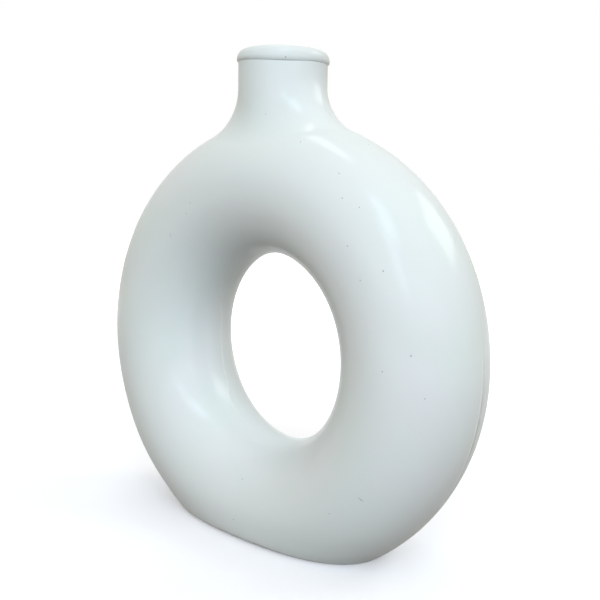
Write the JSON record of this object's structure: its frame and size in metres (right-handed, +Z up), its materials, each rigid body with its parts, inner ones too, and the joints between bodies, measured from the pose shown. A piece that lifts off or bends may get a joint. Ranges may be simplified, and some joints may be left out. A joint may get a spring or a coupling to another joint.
{
  "type": "donut vase",
  "caption": "Hollow ring-shaped vase standing on a flat base, with a round collared neck and rolled lip on top.",
  "frame": {"origin": "middle of the flat base, on the surface the vase stands on", "axes": "+Z up along the neck, +X along the width of the ring, +Y from the front through the hole to the back"},
  "size_m": [0.2202, 0.0636, 0.2305],
  "materials": {
    "glazed_body": "white satin glaze",
    "glazed_neck": "white satin glaze",
    "glazed_lip": "white satin glaze",
    "glazed_seam": "thin white satin glaze over a scraped seam"
  },
  "bodies": {
    "root": {"front_half": "glazed_body", "back_half": "glazed_body", "neck": "glazed_neck", "lip": "glazed_lip", "rim_seam": "glazed_seam", "hole_seam": "glazed_seam"}
  },
  "joints": []
}
